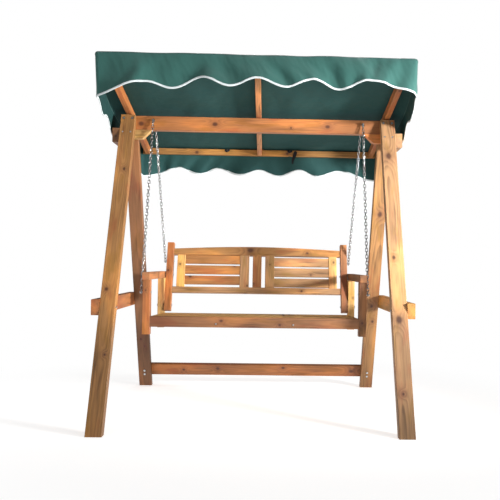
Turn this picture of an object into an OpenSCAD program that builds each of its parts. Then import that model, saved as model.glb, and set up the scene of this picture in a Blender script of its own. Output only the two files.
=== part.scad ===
// Garden swing bench with a fabric canopy.
// Two pairs of sloping legs hold a top beam; a slatted bench hangs from it on four chains.
// The front faces -Y, +X is to the right seen from the front, and the feet stand on Z = 0.

/* [Stand] */
// Distance between the outer faces of the left and right legs
stand_w = 1560; // [1300:10:1880]
// Distance between the front and rear feet, outside to outside
stand_d = 1250; // [1040:10:1500]
// Height of the top of the beam
beam_top = 1660; // [1380:10:2000]
// Height of the beam's section
beam_h = 80; // [70:2:96]
// Thickness of the beam
beam_t = 40; // [34:2:48]
// Width of a leg, across the stand
leg_w = 80; // [70:2:96]
// Thickness of a leg
leg_t = 40; // [34:2:48]
// Height of the corner blocks under the beam
block_h = 50; // [40:2:60]
// How far a corner block reaches past the leg
block_reach = 88; // [70:2:94]
// Width of the level rails on the sides
side_rail_h = 80; // [60:2:90]
// Thickness of the side rails and the apex plates
side_rail_t = 40; // [28:2:45]
// Height of the underside of the lower side rails
side_rail_z = 552; // [450:2:640]
// How far a lower side rail stands past each leg
side_rail_over = 4; // [0:1:12]
// Length of the plates that join the leg tops
plate_len = 144; // [136:2:170]
// Width of the rear stretcher
stretcher_h = 78; // [60:2:90]
// Thickness of the rear stretcher
stretcher_t = 28; // [20:1:40]
// Distance up the rear legs to the lower edge of the stretcher
stretcher_up = 74; // [60:2:200]

/* [Canopy] */
// How far the canopy's corners stand past the legs, to each side
canopy_over = 5; // [0:1:40]
// Depth of the canopy
canopy_d = 1110; // [900:10:1200]
// Height of the canopy's front edge above the beam
canopy_rise = 176; // [166:2:240]
// Distance of the canopy's rear edge below the top of the beam
canopy_fall = 78; // [40:2:86]
// Thickness of the cover cloth
cloth_t = 3; // [2:0.5:4]
// Drop of the edge cloth at the crown of each scallop
valance_drop = 126; // [110:2:150]
// Extra drop at the point between two scallops
scallop_h = 40; // [20:2:56]
// Extra drop at the four corners
corner_h = 66; // [40:2:80]
// Length of one scallop
scallop_len = 277; // [240:1:300]
// Width of a rafter
rafter_w = 30; // [24:2:40]
// Height of a rafter
rafter_h = 44; // [36:2:44]
// Thickness of the front and rear canopy rails
canopy_rail_t = 28; // [20:2:34]
// Height of the front and rear canopy rails
canopy_rail_h = 38; // [30:2:46]
// Distance of a tie strap from the middle
strap_x = 221; // [120:1:400]
// Width of a tie strap
strap_w = 18; // [12:1:26]
// Thickness of a tie strap
strap_t = 2; // [1:0.5:2.5]
// Length of the strap's hanging tail
strap_tail = 58; // [30:2:90]

/* [Bench] */
// Room between a leg's inner face and the bench
bench_room = 106; // [96:2:140]
// Thickness of the square arm posts
post_t = 40; // [34:2:46]
// Position of the front face of the front posts, behind the beam's middle
bench_front = -274; // [-300:2:-240]
// Distance from the front face of the front posts to that of the rear posts
post_gap = 440; // [430:2:450]
// Height of the seat's front edge
seat_z = 538; // [440:2:650]
// Slope of the seat down towards the back, in degrees
seat_tilt = 2; // [0:0.5:3]
// Height of the front seat rail
front_rail_h = 56; // [50:2:70]
// Thickness of the seat rails
seat_rail_t = 22; // [18:1:26]
// Height of the side and rear seat rails and the bearers
bearer_h = 38; // [30:2:44]
// Distance from the middle to the middle of a seat bearer
bearer_x = 205; // [140:1:300]
// Width of a seat bearer
bearer_w = 36; // [28:2:50]
// Number of seat slats
seat_slats = 6; // [5:1:7]
// Gap between seat slats
seat_gap = 8; // [4:1:12]
// Thickness of the seat slats
seat_slat_t = 18; // [14:1:22]
// Height of the armrest above the seat
arm_rise = 232; // [200:2:270]
// Thickness of an armrest
arm_t = 40; // [30:2:46]
// Width of an armrest
arm_w = 36; // [28:2:36]
// How far the armrest stands past the front post
arm_over = 10; // [0:1:30]

/* [Backrest] */
// Lean of the backrest from upright, in degrees
back_lean = 14.8; // [12:0.2:18]
// Length of the back posts
back_len = 424; // [400:2:470]
// Depth of a back post, front to back
back_post_d = 40; // [34:2:44]
// Height of the back posts' lower ends above the seat
back_rise = 1; // [0:1:20]
// Distance up the back to the lower rail
back_rail_low = 110; // [90:2:130]
// Height of the lower back rail
back_rail_h = 37; // [30:1:45]
// Distance up the back to the upper rail
back_rail_up = 348; // [340:2:356]
// Height of the upper back rail at its ends
top_rail_end_h = 38; // [30:1:46]
// Rise of the upper back rail's curved edge
top_rail_crown = 17; // [8:1:24]
// Thickness of the back rails
back_rail_t = 28; // [22:1:32]
// Distance from the middle to the inner edge of an inner stile
stile_in_x = 49; // [40:1:60]
// Width of an inner stile
stile_in_w = 57; // [44:1:64]
// Width of an outer stile
stile_out_w = 49; // [40:1:60]
// Gap between an outer stile and its back post
stile_gap = 24; // [12:1:40]
// Thickness of the stiles
stile_t = 22; // [18:1:26]
// Width of the slat in the middle of the back
middle_slat_w = 54; // [40:1:60]
// Width of a cross slat in the back
back_slat_h = 54; // [46:1:56]
// Gap between two cross slats
back_slat_gap = 11; // [6:1:12]
// Thickness of the cross slats
back_slat_t = 16; // [12:1:20]
// Gap over the right panel's upper slat
right_panel_drop = 11; // [0:1:11]

/* [Hardware] */
// Wire diameter of the chain
wire_d = 4.6; // [3.6:0.1:5]
// Width of a chain link over its wires
link_w = 17; // [16:0.5:19]
// Distance from one chain link to the next, near enough
link_pitch = 18.6; // [18.2:0.1:19]
// Width over the wires of the last link, which hangs on a chain bolt
eye_w = 22; // [20:0.5:24]
// Play between one link and the next
link_play = 0.4; // [0.2:0.1:0.8]
// Distance from the bench's side to the hanger bolt, outwards
hanger_out = 6; // [0:1:8]
// Distance of the hanger bolt below the beam's top
hanger_drop = 27; // [20:1:40]
// Distance from the beam's face to the chain
hanger_off = 14; // [12:1:18]
// Height of the front chain bolt above the seat
front_bolt_rise = 126; // [100:2:180]
// Distance up the back post to the rear chain bolt
rear_bolt_up = 308; // [290:2:330]
// Distance from the post's face to the chain
chain_off = 10; // [9:1:12]
// Diameter of the chain bolts
chain_bolt_d = 6; // [5:0.5:6.5]
// Diameter of the frame bolts
bolt_d = 8; // [6:0.5:10]
// Diameter of the wood screws
screw_d = 4.5; // [3.5:0.5:5]
// Extra width of a bolt hole over its bolt
hole_play = 0.6; // [0.3:0.1:1]

/* [Hidden] */
$fn = 48;
SIDES = ["left", "right"];
STILES = ["outer_left", "inner_left", "inner_right", "outer_right"];

edge = 2;              // chamfer along the long edges of the timber
far = 3000;            // longer than anything, for cuts
wood_leg = "#b5793f";
wood_warm = "#c5763f";
wood_light = "#d8a05c";
cloth = "#2f6f66";
zinc = "#b9bec2";
webbing = "#222222";

// Lean of the legs: the inner face of a leg meets the beam's face this far below the beam's top.
plumb_cut = 60;
foot_y = stand_d / 2;
leg_x = stand_w / 2;
meet_z = beam_top - plumb_cut;
meet_y = foot_y - beam_t / 2;
leg_slope = (meet_y * meet_z - leg_t * sqrt(meet_y * meet_y + meet_z * meet_z - leg_t * leg_t))
    / (meet_z * meet_z - leg_t * leg_t);
leg_lean = atan(leg_slope);
beam_z = beam_top - beam_h;
block_len = leg_w + block_reach;

// Canopy
canopy_front_z = beam_top + canopy_rise;
canopy_rear_z = beam_top - canopy_fall;
canopy_x = leg_x + canopy_over;
canopy_y = canopy_d / 2;
roof_slope = (canopy_front_z - canopy_rear_z) / canopy_d;
roof_angle = atan(roof_slope);
rail_gap = 3;          // room between the canopy rails and the edge cloth
rail_y = canopy_y - cloth_t - rail_gap;
rafter_y = rail_y - canopy_rail_t;
rafter_x = leg_x - leg_w / 2;
head_t = bolt_d * 0.55;
bolt_room = 3.6;       // room between the side cloth and the bolt heads of the apex plates
bow = side_rail_t + head_t + bolt_room + cloth_t - canopy_over;

// Bench
bench_x = leg_x - leg_w - bench_room;
post_in = bench_x - post_t;
front_y = bench_front;
rear_y = bench_front + post_gap;
slat_z = seat_z - seat_slat_t;
bearer_z = slat_z - bearer_h;
front_rail_y = front_y + 2;
slat_y0 = front_rail_y + seat_rail_t + 4;
slat_y1 = rear_y - 24;
seat_slat_w = (slat_y1 - slat_y0 - (seat_slats - 1) * seat_gap) / seat_slats;
rear_rail_y = slat_y1 - seat_rail_t - 2;
arm_z = seat_z + arm_rise - arm_t;
front_post_low = seat_z - front_rail_h - 40;
rear_post_low = seat_z - front_rail_h - 49;

// Backrest: its posts stand against the inner faces of the rear arm posts.
back_x = post_in;
back_post_w = 40;
back_in = back_x - back_post_w;
back_y = rear_y - 14;
back_z = seat_z + back_rise;
back_top_len = back_rail_up - back_rail_low - back_rail_h;
rail_v = (back_post_d - back_rail_t) / 2;
stile_v = (back_post_d - stile_t) / 2;
slat_v = (back_post_d - back_slat_t) / 2;
stile_out_x = back_in - stile_gap - stile_out_w;

// Chains: hanger points on the beam, and bolts on the bench.
link_r = (link_w - wire_d) / 2;
eye_r = (eye_w - wire_d) / 2;
eye_c = 12;            // distance between the middles of the last link's round ends
hanger_x = bench_x + hanger_out;
hang_y = beam_t / 2 + hanger_off;
hang_z = beam_top - hanger_drop;
front_bolt_y = front_y + post_t / 2;
front_bolt_z = seat_z + front_bolt_rise;
rear_bolt_y = back_y + rear_bolt_up * sin(back_lean) + back_post_d / 2 * cos(back_lean);
rear_bolt_z = back_z + rear_bolt_up * cos(back_lean) - back_post_d / 2 * sin(back_lean);
front_chain_x = bench_x + chain_off;
rear_chain_x = back_x + chain_off;
arm_bolt_up = (arm_z + arm_t / 2 - back_z) / cos(back_lean) + back_post_d / 2 * tan(back_lean);
arm_bolt_y = back_y + arm_bolt_up * sin(back_lean) + back_post_d / 2 * cos(back_lean);
arm_bolt_z = back_z + arm_bolt_up * cos(back_lean) - back_post_d / 2 * sin(back_lean);
low_bolt_up = (rear_y + post_t / 2 - 6 - back_y - back_post_d / 2 * cos(back_lean)) / sin(back_lean);
low_bolt_z = back_z + low_bolt_up * cos(back_lean) - back_post_d / 2 * sin(back_lean);
arm_len = arm_bolt_y + 16 - (front_y - arm_over);

// Bolts and screws
head_r = bolt_d * 0.9;
washer_t = 1.6;
apex_bolt_z = beam_top - 20;
apex_bolt_dx = 24;
apex_seat_y = foot_y - apex_bolt_z * leg_slope - 5;
block_screw_z = beam_z - block_h / 2;
block_screw_dx = 22;
block_screw_seat = foot_y - block_screw_z * leg_slope - 5;
rail_bolt_z = side_rail_z + side_rail_h / 2;
rail_bolt_y = foot_y - rail_bolt_z * leg_slope - leg_t * 0.53;
plate_z = beam_z - side_rail_h - 4;
plate_bolt_z = plate_z + side_rail_h / 2;
plate_bolt_y = foot_y - plate_bolt_z * leg_slope - leg_t * 0.8;
stretcher_bolt_dz = 13;
stretcher_bolt_up = stretcher_up + stretcher_h / 2;

// ---- timber helpers ----

function cut_corners(a0, a1, b0, b1, c) = [
    [a0 + c, b0], [a1 - c, b0], [a1, b0 + c], [a1, b1 - c],
    [a1 - c, b1], [a0 + c, b1], [a0, b1 - c], [a0, b0 + c]
];

module bar_x(x0, x1, y0, y1, z0, z1) {
    translate([x0, 0, 0]) rotate([90, 0, 90])
        linear_extrude(x1 - x0) polygon(cut_corners(y0, y1, z0, z1, edge));
}

module bar_y(x0, x1, y0, y1, z0, z1) {
    translate([0, y1, 0]) rotate([90, 0, 0])
        linear_extrude(y1 - y0) polygon(cut_corners(x0, x1, z0, z1, edge));
}

module bar_z(x0, x1, y0, y1, z0, z1) {
    translate([0, 0, z0]) linear_extrude(z1 - z0) polygon(cut_corners(x0, x1, y0, y1, edge));
}

// Mirrors what follows to the left side when side is 0.
module on_side(side) {
    mirror([side == 0 ? 1 : 0, 0, 0]) children();
}

// Mirrors what follows to the rear when end is 1.
module on_end(end) {
    mirror([0, end == 1 ? 1 : 0, 0]) children();
}

module rod_x(x0, x1, y, z, d) {
    translate([x0, y, z]) rotate([0, 90, 0]) cylinder(h = x1 - x0, d = d);
}

module rod_y(x, y0, y1, z, d) {
    translate([x, y1, z]) rotate([90, 0, 0]) cylinder(h = y1 - y0, d = d);
}

module rod_z(x, y, z0, z1, d) {
    translate([x, y, z0]) cylinder(h = z1 - z0, d = d);
}

// ---- stand ----

// The frame of a front leg: Z runs up the leg, Y into it from its outer face.
module leg_frame() {
    translate([0, -foot_y, 0]) rotate([-leg_lean, 0, 0]) children();
}

module leg(end) {
    color(wood_leg) on_end(end) difference() {
        leg_frame() bar_z(leg_x - leg_w, leg_x, 0, leg_t, -40, beam_top * 1.2);
        translate([0, -far, -far]) cube([far, 2 * far, far]);
        translate([0, -far, beam_top]) cube([far, 2 * far, far]);
        translate([0, -beam_t / 2, 0]) cube([far, far, far]);
        for (dx = [-apex_bolt_dx, apex_bolt_dx]) {
            rod_y(rafter_x + dx, -far, 0, apex_bolt_z, bolt_d + hole_play);
            rod_y(rafter_x + dx, -far, -apex_seat_y, apex_bolt_z, 2 * head_r + 3);
        }
        for (dx = [-block_screw_dx, block_screw_dx]) {
            rod_y(rafter_x + dx, -far, 0, block_screw_z, screw_d + hole_play);
            rod_y(rafter_x + dx, -far, -block_screw_seat, block_screw_z, 2 * screw_d + 1);
        }
        rod_x(0, far, -rail_bolt_y, rail_bolt_z, bolt_d + hole_play);
        rod_x(leg_x - 46, far, -plate_bolt_y, plate_bolt_z, bolt_d + hole_play);
        if (end == 1) leg_frame() for (dz = [-stretcher_bolt_dz, stretcher_bolt_dz])
            rod_y(rafter_x, -far, far, stretcher_bolt_up + dz, bolt_d + hole_play);
    }
}

module top_beam() {
    color(wood_warm) difference() {
        bar_x(-leg_x, leg_x, -beam_t / 2, beam_t / 2, beam_z, beam_top);
        for (side = [0, 1]) on_side(side) {
            for (dx = [-apex_bolt_dx, apex_bolt_dx])
                rod_y(rafter_x + dx, -far, far, apex_bolt_z, bolt_d + hole_play);
            rod_y(hanger_x, -far, far, hang_z, chain_bolt_d + hole_play);
        }
    }
}

// A block under the beam, between the leg tops, with its inner end cut at 45 degrees.
module corner_block(side) {
    outline = [
        [leg_x, beam_z], [leg_x - block_len, beam_z],
        [leg_x - block_len + block_h, beam_z - block_h], [leg_x, beam_z - block_h]
    ];
    color(wood_warm) on_side(side) difference() {
        translate([0, beam_t / 2, 0]) rotate([90, 0, 0]) linear_extrude(beam_t) polygon(outline);
        for (dx = [-block_screw_dx, block_screw_dx])
            rod_y(rafter_x + dx, -far, far, block_screw_z, screw_d + hole_play);
    }
}

module apex_plate(side) {
    color(wood_leg) on_side(side) difference() {
        bar_y(leg_x, leg_x + side_rail_t, -plate_len / 2, plate_len / 2,
            plate_z, plate_z + side_rail_h);
        for (y = [-plate_bolt_y, plate_bolt_y])
            rod_x(0, far, y, plate_bolt_z, bolt_d + hole_play);
    }
}

module side_rail(side) {
    end_y = foot_y - rail_bolt_z * leg_slope + side_rail_over;
    color(wood_leg) on_side(side) difference() {
        bar_y(leg_x, leg_x + side_rail_t, -end_y, end_y, side_rail_z, side_rail_z + side_rail_h);
        for (y = [-rail_bolt_y, rail_bolt_y])
            rod_x(0, far, y, rail_bolt_z, bolt_d + hole_play);
    }
}

// The stretcher lies on the outer faces of the rear legs and leans with them.
module rear_stretcher() {
    color(wood_leg) on_end(1) leg_frame() difference() {
        bar_x(-leg_x + edge, leg_x - edge, -stretcher_t, 0, stretcher_up, stretcher_up + stretcher_h);
        for (side = [0, 1]) on_side(side) for (dz = [-stretcher_bolt_dz, stretcher_bolt_dz])
            rod_y(rafter_x, -far, far, stretcher_bolt_up + dz, bolt_d + hole_play);
    }
}

// ---- canopy ----

// Height of the cloth's underside at a distance y from the middle.
function roof_under(y) = (canopy_front_z + canopy_rear_z) / 2 - y * roof_slope - cloth_t;

module rafter(x) {
    color(wood_light) difference() {
        translate([0, 0, roof_under(0)]) rotate([-roof_angle, 0, 0])
            bar_y(x - rafter_w / 2, x + rafter_w / 2, -canopy_d, canopy_d, -rafter_h, 0);
        translate([-far, -far - rafter_y, 0]) cube([2 * far, far, far]);
        translate([-far, rafter_y, 0]) cube([2 * far, far, far]);
        // seat over the beam and the leg tops
        translate([-far, -foot_y + beam_top * leg_slope - 8, 0])
            cube([2 * far, 2 * (foot_y - beam_top * leg_slope + 8), beam_top]);
    }
}

module canopy_rail(end) {
    top = end == 0 ? roof_under(-rafter_y) : roof_under(rail_y);
    color(wood_light) on_end(end)
        bar_x(-rafter_x - rafter_w, rafter_x + rafter_w, -rail_y, -rafter_y, top - canopy_rail_h, top);
}

// Distance of the cloth's side from the middle: it bows out round the apex plates.
function side_x(y) = canopy_x + bow * cos(90 * y / canopy_y);

bow_steps = 24;
bow_ys = [for (i = [0 : bow_steps]) canopy_y * (2 * i / bow_steps - 1)];

module canopy_roof() {
    outline = [
        [-canopy_y, canopy_front_z], [canopy_y, canopy_rear_z],
        [canopy_y, canopy_rear_z - cloth_t], [-canopy_y, canopy_front_z - cloth_t]
    ];
    plan = concat([for (y = bow_ys) [side_x(y), y]], [for (y = bow_ys) [-side_x(y), -y]]);
    color(cloth) intersection() {
        translate([-far / 2, 0, 0]) rotate([90, 0, 90]) linear_extrude(far) polygon(outline);
        linear_extrude(far) polygon(plan);
    }
}

// Drop of an edge cloth at a distance u from the middle of a side that ends at half_len.
// "first" is the distance of the crown nearest the corner.
function drop(u, half_len, first) = valance_drop + (abs(u) < first
    ? scallop_h * (1 - cos(360 * (first - abs(u)) / scallop_len)) / 2
    : corner_h * (1 - cos(180 * (abs(u) - first) / (half_len - first))) / 2);

valance_steps = 72;

// An edge cloth across the front or the rear.
module valance_across(end) {
    edge_z = end == 0 ? canopy_front_z : canopy_rear_z;
    top = end == 0 ? roof_under(-canopy_y + cloth_t) : roof_under(canopy_y);
    first = 2 * scallop_len;
    lower = [for (i = [0 : valance_steps]) let (x = canopy_x - 2 * canopy_x * i / valance_steps)
        [x, edge_z - drop(x, canopy_x, first)]];
    color(cloth) on_end(end) translate([0, -canopy_y + cloth_t, 0]) rotate([90, 0, 0])
        linear_extrude(cloth_t) polygon(concat([[-canopy_x, top], [canopy_x, top]], lower));
}

// An edge cloth along the left or the right side.
module valance_along(side_no) {
    run = canopy_y - cloth_t;
    first = 1.5 * scallop_len;
    lower = [for (i = [0 : valance_steps]) let (y = run - 2 * run * i / valance_steps)
        [y, roof_under(y) + cloth_t - drop(y, run, first)]];
    side = concat([[-run, roof_under(-run)], [run, roof_under(run)]], lower);
    strip = concat([for (y = bow_ys) [side_x(y), y]],
        [for (y = bow_ys) [side_x(-y) - cloth_t, -y]]);
    color(cloth) on_side(side_no) intersection() {
        rotate([90, 0, 90]) linear_extrude(far) polygon(side);
        linear_extrude(far) polygon(strip);
    }
}

// Two straps that go under the rear rail and hang down in front of it.
module tie_straps() {
    top = roof_under(rail_y);
    low = top - canopy_rail_h;
    color(webbing) for (side = [0, 1]) on_side(side) translate([strap_x - strap_w / 2, 0, 0]) {
        translate([0, rafter_y - strap_t, low - strap_tail])
            cube([strap_w, strap_t, strap_tail + canopy_rail_h - 3]);
        translate([0, rafter_y, low - strap_t]) cube([strap_w, canopy_rail_t, strap_t]);
    }
}

// ---- bench ----

module arm_post(side, end) {
    y = end == 0 ? front_y : rear_y;
    low = end == 0 ? front_post_low : rear_post_low;
    color(wood_warm) on_side(side) difference() {
        bar_z(post_in, bench_x, y, y + post_t, low, arm_z);
        if (end == 0) rod_x(0, far, front_bolt_y, front_bolt_z, chain_bolt_d + hole_play);
        if (end == 1) rod_x(0, far, rear_y + post_t / 2 - 6, low_bolt_z, bolt_d + hole_play);
    }
}

module armrest(side) {
    color(wood_warm) on_side(side) difference() {
        bar_y(bench_x - arm_w, bench_x, front_y - arm_over, front_y - arm_over + arm_len,
            arm_z, arm_z + arm_t);
        rod_x(0, far, arm_bolt_y, arm_bolt_z, bolt_d + hole_play);
    }
}

// The frame of the backrest: Z runs up the back, Y into it from its front face.
module back_frame() {
    translate([0, back_y, back_z]) rotate([-back_lean, 0, 0]) children();
}

module back_post(side) {
    color(wood_warm) on_side(side) difference() {
        back_frame() bar_z(back_in, back_x, 0, back_post_d, 0, back_len);
        rod_x(0, far, rear_bolt_y, rear_bolt_z, chain_bolt_d + hole_play);
        rod_x(0, far, arm_bolt_y, arm_bolt_z, bolt_d + hole_play);
        rod_x(0, far, rear_y + post_t / 2 - 6, low_bolt_z, bolt_d + hole_play);
    }
}

crown_steps = 24;

module back_rail_upper() {
    crown = [for (i = [0 : crown_steps]) let (x = back_in - 2 * back_in * i / crown_steps)
        [x, back_rail_up + top_rail_end_h + top_rail_crown * cos(90 * x / back_in)]];
    color(wood_light) back_frame() translate([0, rail_v + back_rail_t, 0]) rotate([90, 0, 0])
        linear_extrude(back_rail_t)
            polygon(concat([[-back_in, back_rail_up], [back_in, back_rail_up]], crown));
}

module back_rail_lower() {
    color(wood_light) back_frame()
        bar_x(-back_in, back_in, rail_v, rail_v + back_rail_t, back_rail_low, back_rail_low + back_rail_h);
}

module stile(x0, width) {
    color(wood_light) back_frame()
        bar_z(x0, x0 + width, stile_v, stile_v + stile_t, back_rail_low + back_rail_h, back_rail_up);
}

module back_slats(side) {
    top = back_rail_up - (side == 0 ? 0 : right_panel_drop);
    color(wood_warm) back_frame() on_side(side) for (i = [1 : 3]) {
        low = top - i * back_slat_h - (i - 1) * back_slat_gap;
        bar_x(stile_in_x + stile_in_w, stile_out_x, slat_v, slat_v + back_slat_t,
            low, low + back_slat_h);
    }
}

// The frame of the seat, sloped about the front rail's top edge.
module seat_frame() {
    translate([0, front_rail_y, seat_z]) rotate([-seat_tilt, 0, 0])
        translate([0, -front_rail_y, -seat_z]) children();
}

module seat_rail_front() {
    color(wood_light) difference() {
        bar_x(-post_in, post_in, front_rail_y, front_rail_y + seat_rail_t,
            seat_z - front_rail_h, seat_z);
        for (side = [0, 1]) on_side(side)
            rod_y(bearer_x, -far, far, bearer_z + bearer_h / 2, screw_d + hole_play);
    }
}

module seat_rail_rear() {
    color(wood_light) difference() {
        bar_x(-post_in + seat_rail_t, post_in - seat_rail_t,
            rear_rail_y, rear_rail_y + seat_rail_t, bearer_z, slat_z);
        for (side = [0, 1]) on_side(side)
            rod_y(bearer_x, -far, far, bearer_z + bearer_h / 2, screw_d + hole_play);
    }
}

function slat_mid(i) = slat_y0 + seat_slat_w / 2 + i * (seat_slat_w + seat_gap);

// Screw holes through the seat slats at a distance x from the middle.
module slat_holes(x) {
    for (i = [0 : seat_slats - 1])
        rod_z(x, slat_mid(i), bearer_z + 8, far, screw_d + hole_play);
}

module seat_rail_side(side) {
    color(wood_light) on_side(side) difference() {
        bar_y(post_in - seat_rail_t, post_in, front_rail_y + seat_rail_t, rear_y + post_t,
            bearer_z, slat_z);
        slat_holes(post_in - seat_rail_t / 2);
    }
}

module seat_bearer(side) {
    color(wood_light) on_side(side) difference() {
        bar_y(bearer_x - bearer_w / 2, bearer_x + bearer_w / 2,
            front_rail_y + seat_rail_t, rear_rail_y, bearer_z, slat_z);
        slat_holes(bearer_x - bearer_w / 4);
        rod_y(bearer_x, -far, front_rail_y + seat_rail_t + 40, bearer_z + bearer_h / 2,
            screw_d + hole_play);
        rod_y(bearer_x, rear_rail_y - 40, far, bearer_z + bearer_h / 2, screw_d + hole_play);
    }
}

module seat_slat_set() {
    color(wood_warm) difference() {
        for (i = [0 : seat_slats - 1])
            bar_x(-post_in + 2, post_in - 2, slat_mid(i) - seat_slat_w / 2,
                slat_mid(i) + seat_slat_w / 2, slat_z, seat_z);
        for (side = [0, 1]) on_side(side) {
            slat_holes(post_in - seat_rail_t / 2);
            slat_holes(bearer_x - bearer_w / 4);
            for (x = [post_in - seat_rail_t / 2, bearer_x - bearer_w / 4], i = [0 : seat_slats - 1])
                rod_z(x, slat_mid(i), seat_z - 3, far, 2 * screw_d + hole_play);
        }
    }
}

// ---- chains ----

lap = 0.02;            // overlap that joins the straight wires of a link to its round ends

// One link in the XZ plane; c is the distance between the middles of its round ends,
// and r is their radius.
module link(c, r) {
    for (end = [0, 1]) mirror([0, 0, end]) translate([0, 0, c / 2]) rotate([90, 0, 0])
        rotate_extrude(angle = 180) translate([r, 0]) circle(d = wire_d, $fn = 24);
    for (x = [-r, r])
        translate([x, 0, -c / 2 - lap]) cylinder(h = c + 2 * lap, d = wire_d, $fn = 24);
}

// A chain from point a down to point b, each the middle of a link's round end.
// Its number of links is even, so that the last one stands across the bolt it hangs on.
module chain(a, b) {
    run = b - a;
    len = norm(run);
    links = 2 * round(len / link_pitch / 2);
    step = 2 * link_r - wire_d - link_play;
    eye_step = link_r + eye_r - wire_d - link_play;
    c = (len - (links - 2) * step - eye_step - eye_c) / (links - 1);
    tilt = asin(run.y / len);
    sway = atan2(-run.x, -run.z);
    color(zinc) translate(a) rotate([tilt, sway, 0]) {
        for (i = [0 : links - 2])
            translate([0, 0, -(c + step) * i - c / 2]) rotate([0, 0, i % 2 * 90]) link(c, link_r);
        translate([0, 0, -len + eye_c / 2]) rotate([0, 0, 90]) link(eye_c, eye_r);
    }
}

module chain_front(side) {
    on_side(side) chain([hanger_x, -hang_y, hang_z],
        [front_chain_x, front_bolt_y, front_bolt_z]);
}

module chain_rear(side) {
    on_side(side) chain([hanger_x, hang_y, hang_z],
        [rear_chain_x, rear_bolt_y, rear_bolt_z]);
}

// ---- fasteners ----

// A bolt along X from x0 to x1, with a six-sided head outside x1 and a nut outside x0.
module bolt_x(x0, x1, y, z, d) {
    rod_x(x0 - d * 0.7, x1, y, z, d);
    rod_x(x0 - d * 0.5, x0, y, z, d * 1.8, $fn = 6);
    translate([x1, y, z]) rotate([0, 90, 0]) cylinder(h = d * 0.55, r = d * 0.9, $fn = 6);
}

module bolt_y(x, y0, y1, z, d) {
    rod_y(x, y0 - d * 0.25, y1 + d * 0.25, z, d);
    for (y = [y0 - d * 0.5, y1])
        translate([x, y + d * 0.5, z]) rotate([90, 0, 0]) cylinder(h = d * 0.5, r = d * 0.9, $fn = 6);
}

module apex_bolts() {
    color(zinc) for (side = [0, 1]) on_side(side) for (dx = [-apex_bolt_dx, apex_bolt_dx])
        bolt_y(rafter_x + dx, -apex_seat_y, apex_seat_y, apex_bolt_z, bolt_d);
}

module side_rail_bolts() {
    color(zinc) for (side = [0, 1]) on_side(side) for (end = [0, 1]) on_end(end) {
        bolt_x(leg_x - leg_w, leg_x + side_rail_t, -rail_bolt_y, rail_bolt_z, bolt_d);
        rod_x(leg_x - 44, leg_x + side_rail_t, -plate_bolt_y, plate_bolt_z, bolt_d);
        translate([leg_x + side_rail_t, -plate_bolt_y, plate_bolt_z]) rotate([0, 90, 0])
            cylinder(h = head_t, r = head_r, $fn = 6);
    }
}

module stretcher_bolts() {
    color(zinc) for (side = [0, 1]) on_side(side) on_end(1) leg_frame()
        for (dz = [-stretcher_bolt_dz, stretcher_bolt_dz])
            bolt_y(rafter_x, -stretcher_t, leg_t, stretcher_bolt_up + dz, bolt_d);
}

module screw_y(x, y0, y1, z) {
    rod_y(x, y0, y1, z, screw_d);
    rod_y(x, y0 - 2.4, y0, z, 2 * screw_d);
}

// Screws through the leg tops into the corner blocks.
module frame_screws() {
    color(zinc) for (side = [0, 1]) on_side(side) for (end = [0, 1]) on_end(end)
        for (dx = [-block_screw_dx, block_screw_dx])
            screw_y(rafter_x + dx, -block_screw_seat, -1, block_screw_z);
}

module hanger_bolts() {
    tip = hang_y + 8;
    color(zinc) for (side = [0, 1]) on_side(side) {
        bolt_y(hanger_x, -tip, tip, hang_z, chain_bolt_d);
        for (y = [-beam_t / 2 - washer_t, beam_t / 2])
            rod_y(hanger_x, y, y + washer_t, hang_z, 2.4 * chain_bolt_d);
    }
}

module chain_bolts() {
    color(zinc) for (side = [0, 1]) on_side(side) {
        bolt_x(post_in, front_chain_x + 5, front_bolt_y, front_bolt_z, chain_bolt_d);
        bolt_x(back_in, rear_chain_x + 5, rear_bolt_y, rear_bolt_z, chain_bolt_d);
        for (p = [[bench_x, front_bolt_y, front_bolt_z], [back_x, rear_bolt_y, rear_bolt_z]])
            rod_x(p.x, p.x + washer_t, p.y, p.z, 2.4 * chain_bolt_d);
    }
}

module bench_bolts() {
    color(zinc) for (side = [0, 1]) on_side(side) {
        bolt_x(back_in, bench_x, arm_bolt_y, arm_bolt_z, bolt_d);
        rod_x(back_x, bench_x - arm_w, arm_bolt_y, arm_bolt_z, 2.4 * bolt_d);
        bolt_x(back_in, bench_x, rear_y + post_t / 2 - 6, low_bolt_z, bolt_d);
    }
}

module bench_screws() {
    color(zinc) for (side = [0, 1]) on_side(side) {
        screw_y(bearer_x, front_rail_y, front_rail_y + seat_rail_t + 38, bearer_z + bearer_h / 2);
        mirror([0, 1, 0])
            screw_y(bearer_x, -rear_rail_y - seat_rail_t, -rear_rail_y + 38, bearer_z + bearer_h / 2);
        for (x = [post_in - seat_rail_t / 2, bearer_x - bearer_w / 4], i = [0 : seat_slats - 1]) {
            rod_z(x, slat_mid(i), bearer_z + 10, seat_z - 3, screw_d);
            rod_z(x, slat_mid(i), seat_z - 3, seat_z - 0.4, 2 * screw_d);
        }
    }
}

// ---- the nodes ----

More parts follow.
